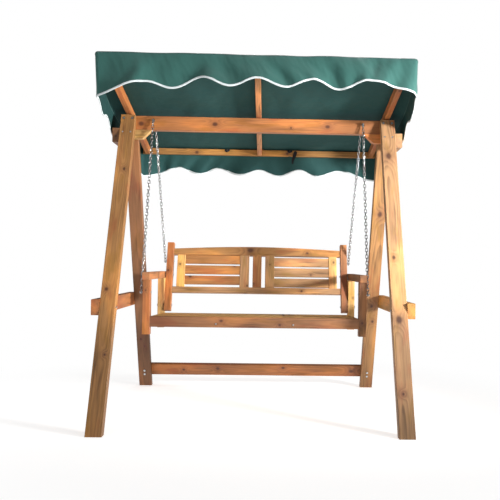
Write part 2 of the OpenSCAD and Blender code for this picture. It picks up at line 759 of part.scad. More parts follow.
for (side = [0, 1], end = [0, 1]) {
    place = str(end == 0 ? "front_" : "rear_", SIDES[side]);
    on_side(side) leg(end);
    arm_post(side, end);
}
for (side = [0, 1]) {
    corner_block(side);
    apex_plate(side);
    side_rail(side);
    valance_along(side);
    armrest(side);
    back_post(side);
    back_slats(side);
    seat_frame() seat_rail_side(side);
    seat_frame() seat_bearer(side);
    chain_front(side);
    chain_rear(side);
}
top_beam();
rear_stretcher();
rafter(-rafter_x);  // rafter_left
rafter(0);  // rafter_middle
rafter(rafter_x);  // rafter_right
canopy_rail(0);  // canopy_rail_front
canopy_rail(1);  // canopy_rail_rear
canopy_roof();
valance_across(0);  // canopy_valance_front
valance_across(1);  // canopy_valance_rear
tie_straps();
back_rail_upper();
back_rail_lower();
stile(-stile_out_x - stile_out_w, stile_out_w);  // stile_outer_left
stile(-stile_in_x - stile_in_w, stile_in_w);  // stile_inner_left
stile(stile_in_x, stile_in_w);  // stile_inner_right
stile(stile_out_x, stile_out_w);  // stile_outer_right
stile(-middle_slat_w / 2, middle_slat_w);  // middle_slat
seat_frame() seat_rail_front();
seat_frame() seat_rail_rear();
seat_frame() seat_slat_set();  // seat_slats
apex_bolts();
side_rail_bolts();
stretcher_bolts();
frame_screws();
hanger_bolts();
chain_bolts();
bench_bolts();
seat_frame() bench_screws();
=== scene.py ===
import math
import random

import bmesh
import bpy
from mathutils import Matrix, Vector, noise
from bpy.props import FloatProperty, FloatVectorProperty, IntProperty, PointerProperty


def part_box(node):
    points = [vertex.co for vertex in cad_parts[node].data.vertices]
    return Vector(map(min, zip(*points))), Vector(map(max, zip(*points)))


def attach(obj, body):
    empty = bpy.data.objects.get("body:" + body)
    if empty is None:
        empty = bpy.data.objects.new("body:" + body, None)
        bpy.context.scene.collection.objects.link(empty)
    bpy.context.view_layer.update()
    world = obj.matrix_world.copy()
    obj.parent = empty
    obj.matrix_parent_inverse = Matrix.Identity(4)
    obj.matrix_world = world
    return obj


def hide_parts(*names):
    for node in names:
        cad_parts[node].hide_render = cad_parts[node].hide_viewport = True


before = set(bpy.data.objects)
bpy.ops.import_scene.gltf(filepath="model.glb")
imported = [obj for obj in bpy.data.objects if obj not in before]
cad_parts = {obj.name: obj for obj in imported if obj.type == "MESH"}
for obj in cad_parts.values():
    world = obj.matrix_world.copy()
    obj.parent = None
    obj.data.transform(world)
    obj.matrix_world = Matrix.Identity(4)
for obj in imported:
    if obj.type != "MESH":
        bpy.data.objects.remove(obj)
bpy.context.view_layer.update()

bl_info = {
    "name": "Garden swing bench",
    "version": (1, 0, 0),
    "blender": (4, 5, 0),
    "location": "View3D > Sidebar > Swing bench",
    "description": "Dresses a timber swing bench: timber, chains, canopy cover and fittings",
    "category": "Object",
}

MM = 0.001


def paint(code):
    """A linear colour from a web colour code."""
    parts = [int(code[i:i + 2], 16) / 255 for i in (1, 3, 5)]
    return tuple(p / 12.92 if p <= 0.04045 else ((p + 0.055) / 1.055) ** 2.4 for p in parts)


# ---- settings ----

def length(name, description, default, low=0.0, high=10.0):
    return FloatProperty(name=name, description=description, default=default, min=low, max=high,
                         subtype="DISTANCE", unit="LENGTH", precision=4)


def colour(name, description, code):
    return FloatVectorProperty(name=name, description=description, default=paint(code), size=3,
                               min=0.0, max=1.0, subtype="COLOR")


def share(name, description, default, low=0.0):
    return FloatProperty(name=name, description=description, default=default, min=low, max=1.0,
                         subtype="FACTOR")


def angle(name, description, default):
    return FloatProperty(name=name, description=description, default=default, subtype="ANGLE",
                         unit="ROTATION", precision=4)


class SwingTimberSettings(bpy.types.PropertyGroup):
    """Sizes and colours of the stained pine"""
    ring_gap: length("Ring gap", "Distance between growth rings", 0.0062, 0.002, 0.02)
    grain_depth: length("Grain depth", "Depth of the raised grain", 0.0005, 0.0, 0.002)
    knot_gap: length("Knot gap", "Distance between knots along a board", 0.60, 0.1, 3.0)
    knot_size: length("Knot size", "Radius of a knot", 0.0085, 0.002, 0.03)
    olive_share: share("Olive stain", "Strength of the olive streaks", 0.55)
    knot_colour: colour("Knots", "Colour of the knots", "#40211a")
    late_shade: share("Late wood", "Shade of the dark part of a ring", 0.42, 0.1)
    ring_strength: share("Rings", "Strength of the growth rings", 0.62)
    # Darkening towards the ground is painted shade of the light falling off near the floor.
    ground_shade: share("Ground shade", "How much the timber darkens towards the ground", 0.26)


class SwingCoverSettings(bpy.types.PropertyGroup):
    """Sizes and colours of the canopy cover"""
    drop: length("Drop", "Drop of the edge cloth at the crown of a scallop", 0.126)
    scallop: length("Scallop", "Extra drop at the point between two scallops", 0.040)
    corner: length("Corner", "Extra drop at the four corners", 0.066)
    short_corner: share("Short corner", "Share of the corner drop at the front right corner", 0.62)
    slack: length("Slack", "Extra drop of the hem towards the front left corner", 0.022)
    shoulder: length("Shoulder", "Fall of the roof from the outer rafters to its sides", 0.036)
    scallop_length: length("Scallop length", "Length of one scallop", 0.267)
    round_corner: length("Corner radius", "Radius of the cover's corners in plan", 0.016)
    sag: length("Sag", "Sag of the cloth between two rafters", 0.016)
    fold: length("Folds", "Depth of the folds in the edge cloth", 0.040)
    crease: length("Creases", "Depth of the small creases in the cloth", 0.045)
    tuck: length("Tuck", "How far the hem is drawn in at the corners", 0.016)
    thickness: length("Thickness", "Thickness of the cloth", 0.0014)
    binding_width: length("Binding width", "Width of the tape round the hem", 0.0098)
    binding_thickness: length("Binding thickness", "Thickness over the folded tape", 0.0040)
    stitch_length: length("Stitch", "Length of one stitch", 0.0042)
    cloth_colour: colour("Cloth", "Colour of the cover's outer side", "#2c5c55")
    # The inner side's darker colour is painted shade: the cloth's underside that the light misses.
    shaded_inside_colour: colour("Shaded inside", "Colour of the cover's inner side", "#214644")
    binding_colour: colour("Binding", "Colour of the tape", "#d4dcdd")


class SwingMetalSettings(bpy.types.PropertyGroup):
    """Sizes and colours of the chains and the fittings"""
    wire: length("Wire", "Wire diameter of the chain", 0.0046)
    link_width: length("Link width", "Width of a link over its wires", 0.017)
    eye_width: length("Eye width", "Width of the last link of a chain", 0.022)
    pitch: length("Pitch", "Distance from one link to the next, near enough", 0.0186)
    twist: angle("Twist", "Largest chance turn of a link about the chain", math.radians(9))
    seed: IntProperty(name="Seed", description="Seed of the chance turns", default=7, min=0)
    zinc_colour: colour("Zinc", "Colour of the zinc plating", "#d5d8da")


class SwingStrapSettings(bpy.types.PropertyGroup):
    """Sizes and colour of the tie straps"""
    width: length("Width", "Width of the webbing", 0.026)
    thickness: length("Thickness", "Thickness of the webbing", 0.0018)
    strap_colour: colour("Webbing", "Colour of the webbing", "#1b1a1d")


class SwingStageSettings(bpy.types.PropertyGroup):
    """Camera and light"""
    camera_place: FloatVectorProperty(name="Camera", description="Place of the camera", size=3,
                                      default=(0.0634, -3.4529, 0.8187), subtype="XYZ",
                                      unit="LENGTH")
    yaw: angle("Yaw", "Turn of the camera to the right", 0.0253)
    pitch: angle("Pitch", "Tilt of the camera upwards", 0.0134)
    roll: angle("Roll", "Roll of the camera", 0.0149)
    lens: FloatProperty(name="Lens", description="Focal length in millimetres", default=43.10)
    shift_x: FloatProperty(name="Shift X", description="Sideways shift of the lens", default=-0.0655)
    shift_y: FloatProperty(name="Shift Y", description="Upwards shift of the lens", default=0.0138)
    key_power: FloatProperty(name="Key light", description="Power of the light on the right",
                             default=30.0, unit="POWER")
    sky: FloatProperty(name="Sky", description="Strength of the even light", default=0.22)
    floor_colour: colour("Floor", "Colour of the floor", "#f7f7f7")


# ---- node trees ----

class Wire:
    """A node's output socket that can stand in arithmetic."""

    def __init__(self, bench, socket):
        self.bench, self.socket = bench, socket

    def maths(self, operation, *others):
        return self.bench.add("ShaderNodeMath", {"operation": operation},
                              dict(enumerate((self,) + others)))

    def __add__(self, other):
        return self.maths("ADD", other)

    def __sub__(self, other):
        return self.maths("SUBTRACT", other)

    def __rsub__(self, other):
        return self.bench.add("ShaderNodeMath", {"operation": "SUBTRACT"}, {0: other, 1: self})

    def __mul__(self, other):
        return self.maths("MULTIPLY", other)

    def __truediv__(self, other):
        return self.maths("DIVIDE", other)

    def __pow__(self, other):
        return self.maths("POWER", other)

    def __mod__(self, other):
        return self.maths("FLOORED_MODULO", other)

    def __gt__(self, other):
        return self.maths("GREATER_THAN", other)

    __radd__, __rmul__ = __add__, __mul__


class NodeBench:
    """Builds the nodes of one tree."""

    def __init__(self, tree):
        self.tree = tree

    def add(self, kind, settings=None, inputs=None, out=0):
        """Adds a node: its settings first, then the values or links of its sockets."""
        node = self.tree.nodes.new(kind)
        for key, value in (settings or {}).items():
            setattr(node, key, value)
        for key, value in (inputs or {}).items():
            if isinstance(value, Wire):
                self.tree.links.new(value.socket, node.inputs[key])
            elif value is not None:
                node.inputs[key].default_value = value
        return Wire(self, node.outputs[out]) if node.outputs else node

    def outputs(self, wire, *names):
        """More outputs of the node that a wire comes from."""
        return [Wire(self, wire.socket.node.outputs[name]) for name in names]

    def split(self, vector):
        wire = self.add("ShaderNodeSeparateXYZ", None, {"Vector": vector})
        return self.outputs(wire, "X", "Y", "Z")

    def join(self, x, y, z):
        return self.add("ShaderNodeCombineXYZ", None, {"X": x, "Y": y, "Z": z})

    def here(self):
        """The place on the object."""
        return self.add("ShaderNodeTexCoord", out="Object")

    def bump(self, strength, distance, height, normal=None):
        return self.add("ShaderNodeBump", None, {"Strength": strength, "Distance": distance,
                                                 "Height": height, "Normal": normal})

    def mix(self, share, first, second, blend="MIX"):
        """A mix of two colours."""
        settings = {"data_type": "RGBA", "blend_type": blend, "clamp_factor": True}
        return self.add("ShaderNodeMix", settings, {0: share, 6: first, 7: second}, out=2)

    def noise(self, place, scale, detail=3.0, roughness=0.5):
        return self.add("ShaderNodeTexNoise", None, {
            "Vector": place, "Scale": scale, "Detail": detail, "Roughness": roughness})

    def ramp(self, value, low, high):
        """Runs smoothly from 0 to 1 while the value goes from low to high."""
        return self.add("ShaderNodeMapRange", {"interpolation_type": "SMOOTHSTEP"},
                        {"Value": value, "From Min": low, "From Max": high})


def new_material(name):
    material = bpy.data.materials.new(name)
    material.use_nodes = True
    material.node_tree.nodes.clear()
    return material, NodeBench(material.node_tree)


def finish_material(bench, inputs):
    surface = bench.add("ShaderNodeBsdfPrincipled", None, inputs)
    bench.add("ShaderNodeOutputMaterial", None, {"Surface": surface})


def full(shade):
    return (*shade[:3], 1.0)


def scaled(shade, share):
    return tuple(min(1.0, part * share) for part in shade[:3])


def give(obj, material):
    obj.data.materials.clear()
    obj.data.materials.append(material)


# ---- timber ----

# The stain's colours, and the one on each board.
STAINS = {
    "walnut": paint("#9d7042"), "olive": paint("#9c6f3c"), "umber": paint("#7e5536"),
    "tan": paint("#a27649"),
    "pale": paint("#ab825b"), "russet": paint("#a3683c"), "honey": paint("#b98646"),
    "amber": paint("#ab773a"), "rose": paint("#a7714a"), "cream": paint("#c99e60"),
    "straw": paint("#d3a566"), "blush": paint("#a77343"), "dusk": paint("#8a5e3e"),
}
BOARDS = {
    "leg_front_left": "walnut", "leg_front_right": "pale", "leg_rear_left": "umber",
    # The left corner block's cream stain is partly painted light: it brightens its lit 45-degree end,
    # and it also matches the block's own tone.
    "leg_rear_right": "tan", "top_beam": "russet", "corner_block_left": "cream",
    "corner_block_right": "russet", "apex_plate_left": "umber", "apex_plate_right": "pale",
    "side_rail_left": "russet", "side_rail_right": "honey", "rear_stretcher": "russet",
    "rafter_left": "russet", "rafter_middle": "rose", "rafter_right": "russet",
    "canopy_rail_front": "amber", "canopy_rail_rear": "olive",
    "arm_post_front_left": "russet", "arm_post_front_right": "umber",
    "arm_post_rear_left": "cream", "arm_post_rear_right": "straw",
    "armrest_left": "rose", "armrest_right": "umber",
    "back_post_left": "russet", "back_post_right": "rose",
    "back_rail_upper": "walnut", "back_rail_lower": "pale",
    "stile_outer_left": "cream", "stile_inner_left": "pale", "stile_inner_right": "pale",
    "stile_outer_right": "straw", "middle_slat": "blush",
    "back_slats_left": "blush", "back_slats_right": "pale",
    "seat_rail_front": "dusk", "seat_rail_rear": "umber", "seat_rail_left": "russet",
    "seat_rail_right": "tan", "seat_bearer_left": "tan", "seat_bearer_right": "tan",
    "seat_slats": "cream",
}

# Knots worth placing one by one: share along the board, millimetres across, radius in millimetres.
KNOTS = {
    "leg_front_right": ((0.863, -6, 19), (0.52, -12, 10), (0.33, -4, 19), (0.12, -8, 8)),
    "leg_front_left": ((0.80, 10, 9), (0.41, -14, 11), (0.22, 12, 7)),
    "top_beam": ((0.34, 0, 13), (0.755, 2, 13), (0.07, 6, 15), (0.62, 12, 6)),
    "rear_stretcher": ((0.187, 4, 9), (0.333, -6, 11), (0.615, -16, 11), (0.911, 4, 15)),
    "back_rail_upper": ((0.458, -9, 18), (0.80, 4, 8)),
    "back_slats_left": ((0.10, 40, 9), (0.90, -30, 9)),
    "canopy_rail_rear": ((0.23, 4, 13), (0.62, 2, 11)),
    "seat_rail_front": ((0.62, 10, 7), (0.34, -8, 8)),
    "leg_rear_right": ((0.745, 4, 17), (0.30, -4, 11), (0.22, 10, 8)),
}


def grain_axis(obj):
    """The direction of a board's longest sharp edge."""
    work = bmesh.new()
    work.from_mesh(obj.data)
    bmesh.ops.remove_doubles(work, verts=work.verts, dist=1e-5)
    sharp = [e for e in work.edges if len(e.link_faces) == 2 and e.calc_face_angle() > 0.2]
    longest = max(sharp, key=lambda e: e.calc_length())
    way = (longest.verts[1].co - longest.verts[0].co).normalized()
    work.free()
    return way if max(way, key=abs) > 0 else -way


def knots_of(name, run, settings, dice):
    """Where a board's knots are: across and along from its middle, with their radius."""
    if name in KNOTS:
        return [(across * MM, (share - 0.5) * run, size * MM) for share, across, size in KNOTS[name]]
    count = int(run / settings.knot_gap + dice.random())
    return [(dice.uniform(-0.02, 0.02), (dice.random() - 0.5) * 0.9 * run,
             settings.knot_size * dice.uniform(0.4, 1.0)) for _ in range(max(1, count))]


def stained_pine(obj, stain, settings, seed):
    """Pine with rings, fibres, knots and an uneven stain; its grain runs along the board."""
    dice = random.Random(seed)
    low = Vector([min(v.co[i] for v in obj.data.vertices) for i in range(3)])
    high = Vector([max(v.co[i] for v in obj.data.vertices) for i in range(3)])
    middle, way = (low + high) / 2, grain_axis(obj)
    turn = way.rotation_difference(Vector((0, 0, 1)))
    run = abs((high - low).dot(way))
    material, bench = new_material("pine_" + obj.name)
    here = bench.here()
    along = bench.add("ShaderNodeMapping", {"vector_type": "POINT"},
                      {"Vector": here, "Rotation": turn.to_euler(),
                       "Location": -(turn @ middle)})
    x, y, z = bench.split(along)

    shift = [dice.uniform(-9, 9) for _ in range(3)]
    drift = bench.noise(bench.join(x * 5 + shift[0], y * 5 + shift[1], z * 1.7), 1.0, 2.0)
    drift_x, drift_y, _ = bench.split(bench.outputs(drift, "Color")[0])
    pith_x = dice.uniform(-0.018, 0.018)
    pith_y = dice.choice((-1, 1)) * dice.uniform(0.035, 0.06)
    lean = dice.uniform(0.008, 0.022) * dice.choice((-1, 1))
    swirl = 0.030
    off_x = x - pith_x + (drift_x - 0.5) * swirl
    off_y = y - pith_y + (drift_y - 0.5) * swirl + z * lean
    radius = (off_x * off_x + off_y * off_y) ** 0.5

    def stretched(fine, long, moves, detail=3.0, roughness=0.6):
        place = bench.join(x * fine + moves[0], y * fine + moves[1], z * long + moves[2])
        return bench.noise(place, 1.0, detail, roughness)

    fibre = stretched(420, 9, (shift[1], shift[2], 0))
    streak = stretched(40, 3.2, (shift[2], shift[0], shift[1]))
    patch = stretched(16, 4.2, (shift[0], 0, shift[2]))
    cloud = stretched(10, 2.6, (shift[1], shift[0], -shift[0]), 2.0, 0.5)

    bulge, core = None, None
    for knot_x, knot_z, size in knots_of(obj.name, run, settings, dice):
        gap_x, gap_z = x - knot_x, (z - knot_z) * 0.8
        gap = (gap_x * gap_x + gap_z * gap_z) ** 0.5 + (streak - 0.5) * (size * 0.9)
        push = (0 - (gap / (2.3 * size)) ** 2).maths("EXPONENT")
        ring = 1 - bench.ramp(gap, size * 0.35, size * 1.15)
        bulge = push if bulge is None else bulge + push
        core = ring if core is None else core.maths("MAXIMUM", ring)

    phase = (radius / settings.ring_gap + bulge * 2.2) % 1.0
    late = bench.ramp(phase, 0.15, 0.88) * (1 - bench.ramp(phase, 0.90, 1.0))
    late = late * (0.35 + bench.ramp(streak, 0.35, 0.65) * 0.65)

    def tinted(red, green, blue):
        return full((stain[0] * red, stain[1] * green, stain[2] * blue))

    bright, dark = full(scaled(stain, 1.22)), full(scaled(stain, settings.late_shade))
    gold, olive = tinted(1.55, 1.38, 1.0), tinted(0.84, 0.82, 0.36)
    ruddy, umber = tinted(1.02, 0.68, 0.66), tinted(0.30, 0.26, 0.26)
    body = bench.mix(late * settings.ring_strength, bright, dark)
    body = bench.mix(bench.ramp(cloud, 0.50, 0.68) * 0.62, body, gold)
    body = bench.mix(bench.ramp(patch, 0.54, 0.68) * settings.olive_share, body, olive)
    body = bench.mix((1 - bench.ramp(patch, 0.32, 0.48)) * 0.65, body, ruddy)
    body = bench.mix(bench.ramp(streak, 0.56, 0.76) * 0.70, body, umber)
    _, _, height = bench.split(here)
    shade = 0.92 + bench.ramp(fibre, 0.30, 0.72) * 0.24 + (cloud - 0.5) * 1.3
    # Painted shade: the boards darken towards the ground, as the light falls off near the floor.
    shade = shade * (1 - settings.ground_shade + bench.ramp(height, 0.0, 0.85) * settings.ground_shade)
    body = bench.mix(1.0, body, bench.join(shade, shade, shade), "MULTIPLY")
    halo = full(scaled(settings.knot_colour, 2.2))
    body = bench.mix(bulge.maths("MINIMUM", 1.0) * 0.42, body, halo)
    body = bench.mix(core * 0.80, body, full(settings.knot_colour))

    relief = late * 0.6 + fibre * 0.5
    bump = bench.bump(0.55, settings.grain_depth, relief)
    finish_material(bench, {
        "Base Color": body, "Roughness": 0.44 + fibre * 0.22 + late * 0.06,
        "Normal": bump, "Specular IOR Level": 0.42,
        "Coat Weight": 0.10, "Coat Roughness": 0.38})
    return material


class SWING_OT_timber(bpy.types.Operator):
    """Give every board its own stained pine"""
    bl_idname = "swing.timber"
    bl_label = "Timber"

    def execute(self, context):
        settings = context.scene.swing_timber
        for seed, (name, stain) in enumerate(BOARDS.items()):
            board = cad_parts[name]
            give(board, stained_pine(board, STAINS[stain], settings, seed + 11))
        return {"FINISHED"}


# ---- metal ----

def zinc_plate(name, shade, mottle=60.0, dullness=0.24):
    """Bright zinc with a fine mottle and dull handling marks."""
    material, bench = new_material(name)
    here = bench.here()
    fine = bench.noise(here, mottle * 8, 4.0, 0.6)
    broad = bench.noise(here, mottle, 3.0)
    tone = bench.mix(bench.ramp(broad, 0.35, 0.7), full(shade), full(scaled(shade, 0.68)))
    warm = bench.mix(bench.ramp(fine, 0.55, 0.8) * 0.35, tone, full(paint("#b9ab84")))
    bump = bench.bump(0.25, 0.2 * MM, fine)
    finish_material(bench, {"Base Color": warm, "Metallic": 1.0,
                            "Roughness": dullness + broad * 0.26, "Normal": bump})
    return material


class SWING_OT_fittings(bpy.types.Operator):
    """Plate the bolts, nuts and washers with zinc"""
    bl_idname = "swing.fittings"
    bl_label = "Bolts"

    def execute(self, context):
        plate = zinc_plate("zinc_bolts", context.scene.swing_metal.zinc_colour)
        for name in ("apex_bolts", "side_rail_bolts", "stretcher_bolts", "hanger_bolts",
                     "chain_bolts", "bench_bolts"):
            give(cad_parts[name], plate)
        return {"FINISHED"}


# ---- geometry nodes helpers ----

def node_group(name, sockets):
    """A geometry tree with named inputs; returns the tree, its bench and its input wires."""
    tree = bpy.data.node_groups.new(name, "GeometryNodeTree")
    tree.interface.new_socket("Geometry", in_out="INPUT", socket_type="NodeSocketGeometry")
    for label, kind in sockets:
        tree.interface.new_socket(label, in_out="INPUT", socket_type="NodeSocket" + kind)
    tree.interface.new_socket("Geometry", in_out="OUTPUT", socket_type="NodeSocketGeometry")
    bench = NodeBench(tree)
    source = bench.add("NodeGroupInput")
    wires = {s.name: Wire(bench, s) for s in source.socket.node.outputs if s.name}
    return tree, bench, wires


def close_group(bench, geometry, material, smooth=True):
    """Ends a tree in Realize Instances and Set Material."""
    if smooth:
        geometry = bench.add("GeometryNodeSetShadeSmooth", None, {"Geometry": geometry})
    real = bench.add("GeometryNodeRealizeInstances", None, {"Geometry": geometry})
    done = bench.add("GeometryNodeSetMaterial", None, {"Geometry": real, "Material": material})
    bench.add("NodeGroupOutput", None, {0: done})


def carried_out(obj, tree, values, name):
    """Runs a tree on an object and returns the result as a plain mesh object."""
    modifier = obj.modifiers.new("make", "NODES")
    modifier.node_group = tree
    for item in tree.interface.items_tree:
        if item.in_out == "INPUT" and item.name in values:
            modifier[item.identifier] = values[item.name]
    obj.update_tag()
    graph = bpy.context.evaluated_depsgraph_get()
    mesh = bpy.data.meshes.new_from_object(obj.evaluated_get(graph))
    mesh.name = name
    made = bpy.data.objects.new(name, mesh)
    bpy.context.scene.collection.objects.link(made)
    obj.modifiers.remove(modifier)
    bpy.data.objects.remove(obj)
    return made


def point_vector(bench, name):
    return bench.add("GeometryNodeInputNamedAttribute", {"data_type": "FLOAT_VECTOR"},
                     {"Name": name})


def chance(bench, seed, low, high):
    return bench.add("FunctionNodeRandomValue", {"data_type": "FLOAT"},
                     {"Seed": seed, 2: low, 3: high}, out=1)


def stood_along(bench, way, twist):
    """A turn that stands +Z along a direction, with a twist about it."""
    upright = bench.add("FunctionNodeAlignRotationToVector", {"axis": "Z"}, {"Vector": way})
    spin = bench.add("FunctionNodeEulerToRotation", None, {"Euler": bench.join(0.0, 0.0, twist)})
    return bench.add("FunctionNodeRotateRotation", {"rotation_space": "LOCAL"},
                     {"Rotation": upright, "Rotate By": spin})


def plain_object(name, points, edges=(), faces=()):
    mesh = bpy.data.meshes.new(name)
    mesh.from_pydata([tuple(p) for p in points], list(edges), list(faces))
    mesh.update()
    obj = bpy.data.objects.new(name, mesh)
    bpy.context.scene.collection.objects.link(obj)
    return obj


def keep_vectors(obj, label, vectors):
    """Stores one vector for each point of a mesh."""
    layer = obj.data.attributes.new(label, "FLOAT_VECTOR", "POINT")
    layer.data.foreach_set("vector", [part for vector in vectors for part in vector])


# ---- chains ----

LINK_GAP = 0.4 * MM
EYE_STRAIGHT = 12 * MM


def link_tree():
    """Hangs links along each edge, every other one turned by a quarter, with an eye at the end."""
    tree, bench, wire = node_group("chain_links", (
        ("Links", "Int"), ("Wire", "Float"), ("Link width", "Float"), ("Straight", "Float"),
        ("Eye width", "Float"), ("Eye straight", "Float"), ("Twist", "Float"), ("Seed", "Int"),
        ("Material", "Material")))

    def one_link(width, straight):
        loop = bench.add("GeometryNodeCurvePrimitiveCircle", None,
                         {"Resolution": 12, "Radius": (width - wire["Wire"]) / 2})
        place = bench.add("GeometryNodeInputPosition")
        x, y, _ = bench.split(place)
        side = bench.add("ShaderNodeMath", {"operation": "SIGN"}, {0: y + 0.0001})
        moved = bench.add("GeometryNodeSetPosition", None,
                          {"Geometry": loop,
                           "Position": bench.join(x, 0.0, y + side * straight / 2)})
        rim = bench.add("GeometryNodeCurvePrimitiveCircle", None,
                        {"Resolution": 6, "Radius": wire["Wire"] / 2})
        return bench.add("GeometryNodeCurveToMesh", None, {"Curve": moved, "Profile Curve": rim})

    run, spot = point_vector(bench, "run"), bench.add("GeometryNodeInputIndex")
    line = bench.add("GeometryNodeMeshToCurve", None, {"Mesh": wire["Geometry"]})
    row = bench.add("GeometryNodeResampleCurve", None, {"Curve": line, "Count": wire["Links"]})
    quarter = (spot % wire["Links"]) % 2.0
    twist = quarter * (math.pi / 2) + chance(bench, wire["Seed"], 0 - wire["Twist"], wire["Twist"])
    links = bench.add("GeometryNodeInstanceOnPoints", None,
                      {"Points": row, "Instance": one_link(wire["Link width"], wire["Straight"]),
                       "Rotation": stood_along(bench, run, twist)})
    is_end = (spot % 2.0) > 0.5
    lengths = wire["Link width"] + wire["Eye width"] + wire["Straight"] + wire["Eye straight"]
    below = bench.add("ShaderNodeVectorMath", {"operation": "SCALE"},
                      {0: run, "Scale": lengths / 2 - wire["Wire"] * 2 - LINK_GAP})
    ends = bench.add("GeometryNodeSetPosition", None,
                     {"Geometry": wire["Geometry"], "Selection": is_end, "Offset": below})
    eyes = bench.add("GeometryNodeInstanceOnPoints", None,
                     {"Points": ends, "Selection": is_end,
                      "Rotation": stood_along(bench, run, math.pi / 2),
                      "Instance": one_link(wire["Eye width"], wire["Eye straight"])})
    both = bench.add("GeometryNodeJoinGeometry", None, {"Geometry": links})
    bench.tree.links.new(eyes.socket, both.socket.node.inputs[0])
    close_group(bench, both, wire["Material"])
    return tree


def chain_ends(node):
    """The middles of a chain's top and bottom round ends, from its solids."""
    corners = [v.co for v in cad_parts[node].data.vertices]
    top, bottom = max(p.z for p in corners), min(p.z for p in corners)
    ends = []
    for level in (top, bottom):
        near = [p for p in corners if abs(p.z - level) < 4 * MM]
        ends.append(sum(near, Vector()) / len(near))
    run = (ends[1] - ends[0]).normalized()
    reach = [p.dot(run) for p in corners]
    return [end + run * (limit - end.dot(run)) for end, limit in zip(ends, (min(reach), max(reach)))]


class SWING_OT_chains(bpy.types.Operator):
    """Hang the four chains"""
    bl_idname = "swing.chains"
    bl_label = "Chains"

    def execute(self, context):
        metal = context.scene.swing_metal
        tree = link_tree()
        plate = zinc_plate("zinc_chain", scaled(metal.zinc_colour, 0.92), 90.0, 0.08)
        for end, body in (("front", "front_chains"), ("rear", "rear_chains")):
            nodes = [f"chain_{end}_left", f"chain_{end}_right"]
            points, runs = [], []
            for node in nodes:
                top, bottom = chain_ends(node)
                run = (bottom - top).normalized()
                total = (bottom - top).length
                count = 2 * round(total / metal.pitch / 2)
                whole = total - metal.eye_width - EYE_STRAIGHT + 2 * metal.wire + LINK_GAP
                pitch = (whole - 2 * metal.wire - LINK_GAP) / (count - 1)
                straight = pitch - metal.link_width + 2 * metal.wire + LINK_GAP
                half = (metal.link_width + straight) / 2
                points += [top + run * half, top + run * (half + pitch * (count - 2))]
                runs += [run, run]
            rails = plain_object("chain_lines", points, [(0, 1), (2, 3)])
            keep_vectors(rails, "run", runs)
            made = carried_out(rails, tree, {
                "Links": count - 1, "Wire": metal.wire, "Link width": metal.link_width,
                "Straight": straight, "Eye width": metal.eye_width,
                "Eye straight": EYE_STRAIGHT, "Twist": metal.twist, "Seed": metal.seed,
                "Material": plate}, f"{end}_chain_links")
            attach(made, body)
            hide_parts(*nodes)
        return {"FINISHED"}


# ---- screws ----

def screw_pattern():
    """A countersunk screw with a cross recess; its head faces +Z and its top is at the origin."""
    work = bmesh.new()
    sides, head, shank, drop = 12, 4.5 * MM, 2.2 * MM, 2.4 * MM
    arm, slim, recess = 2.6 * MM, 0.75 * MM, 1.3 * MM

    def ring(radius, height, turn=0.0):
        return [work.verts.new((radius * math.cos(turn + math.tau * i / sides),
                                radius * math.sin(turn + math.tau * i / sides), height))
                for i in range(sides)]

    cross = []
    for quarter in range(4):
        for point in ((arm, -slim), (arm, slim), (slim, slim)):
            place = Matrix.Rotation(quarter * math.pi / 2, 3, "Z") @ Vector((*point, 0))
            cross.append(place)
    start = -math.asin(slim / arm)
    lip = ring(head * 0.94, 0.0, start)
    rim = ring(head, -0.35 * MM, start)
    neck = ring(shank, -drop, start)
    tail = ring(shank, -14 * MM, start)
    upper = [work.verts.new(p) for p in cross]
    lower = [work.verts.new((p.x * 0.8, p.y * 0.8, -recess)) for p in cross]
    for a, b in ((tail, neck), (neck, rim), (rim, lip), (lip, upper), (upper, lower)):
        for i in range(sides):
            j = (i + 1) % sides
            work.faces.new((a[i], a[j], b[j], b[i]))
    work.faces.new(lower)
    work.faces.new(list(reversed(tail)))
    bmesh.ops.recalc_face_normals(work, faces=work.faces)
    mesh = bpy.data.meshes.new("screw_pattern")
    work.to_mesh(mesh)
    work.free()
    pattern = bpy.data.objects.new("screw_pattern", mesh)
    bpy.context.scene.collection.objects.link(pattern)
    return pattern


def screw_tree():
    """Sets a pattern on each point, with its +Z towards the point's own facing."""
    tree, bench, wire = node_group("set_screws", (
        ("Pattern", "Object"), ("Seed", "Int"), ("Material", "Material")))
    turned = stood_along(bench, point_vector(bench, "facing"),
                         chance(bench, wire["Seed"], 0.0, math.pi / 2))
    pattern = bench.add("GeometryNodeObjectInfo", None, {"Object": wire["Pattern"]},
                        out="Geometry")
    points = bench.add("GeometryNodeMeshToPoints", None, {"Mesh": wire["Geometry"]})
    screws = bench.add("GeometryNodeInstanceOnPoints", None,
                       {"Points": points, "Instance": pattern, "Rotation": turned})
    close_group(bench, screws, wire["Material"], smooth=False)
    return tree


def loose_parts(node):
    """The corners of each separate solid in a node."""
    work = bmesh.new()
    work.from_mesh(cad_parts[node].data)
    bmesh.ops.remove_doubles(work, verts=work.verts, dist=1e-5)
    left, parts = set(work.verts), []
    while left:
        stack, part = [left.pop()], []
        while stack:
            vert = stack.pop()
            part.append(vert.co.copy())
            for edge in vert.link_edges:
                other = edge.other_vert(vert)
                if other in left:
                    left.remove(other)
                    stack.append(other)
        parts.append(part)
    work.free()
    return parts


def screw_heads(node):
    """Where each screw's head sits and the way it faces: its wide end."""
    found = []
    for part in loose_parts(node):
        far = max(part, key=lambda p: (p - part[0]).length)
        run = far - max(part, key=lambda p: (p - far).length)
        along = [p.dot(run) for p in part]
        split = (max(along) + min(along)) / 2
        halves = ([p for p, a in zip(part, along) if a > split],
                  [p for p, a in zip(part, along) if a <= split])
        middles = [sum(half, Vector()) / len(half) for half in halves]
        axis = (middles[0] - middles[1]).normalized()
        spread = [max((p - middle).cross(axis).length for p in half)
                  for half, middle in zip(halves, middles)]
        wide = spread.index(max(spread))
        facing = axis if wide == 0 else -axis
        reach = max((p - middles[wide]).dot(facing) for p in halves[wide])
        found.append((middles[wide] + facing * reach, facing))
    return sorted(found, key=lambda f: tuple(round(c, 4) for c in f[0]))


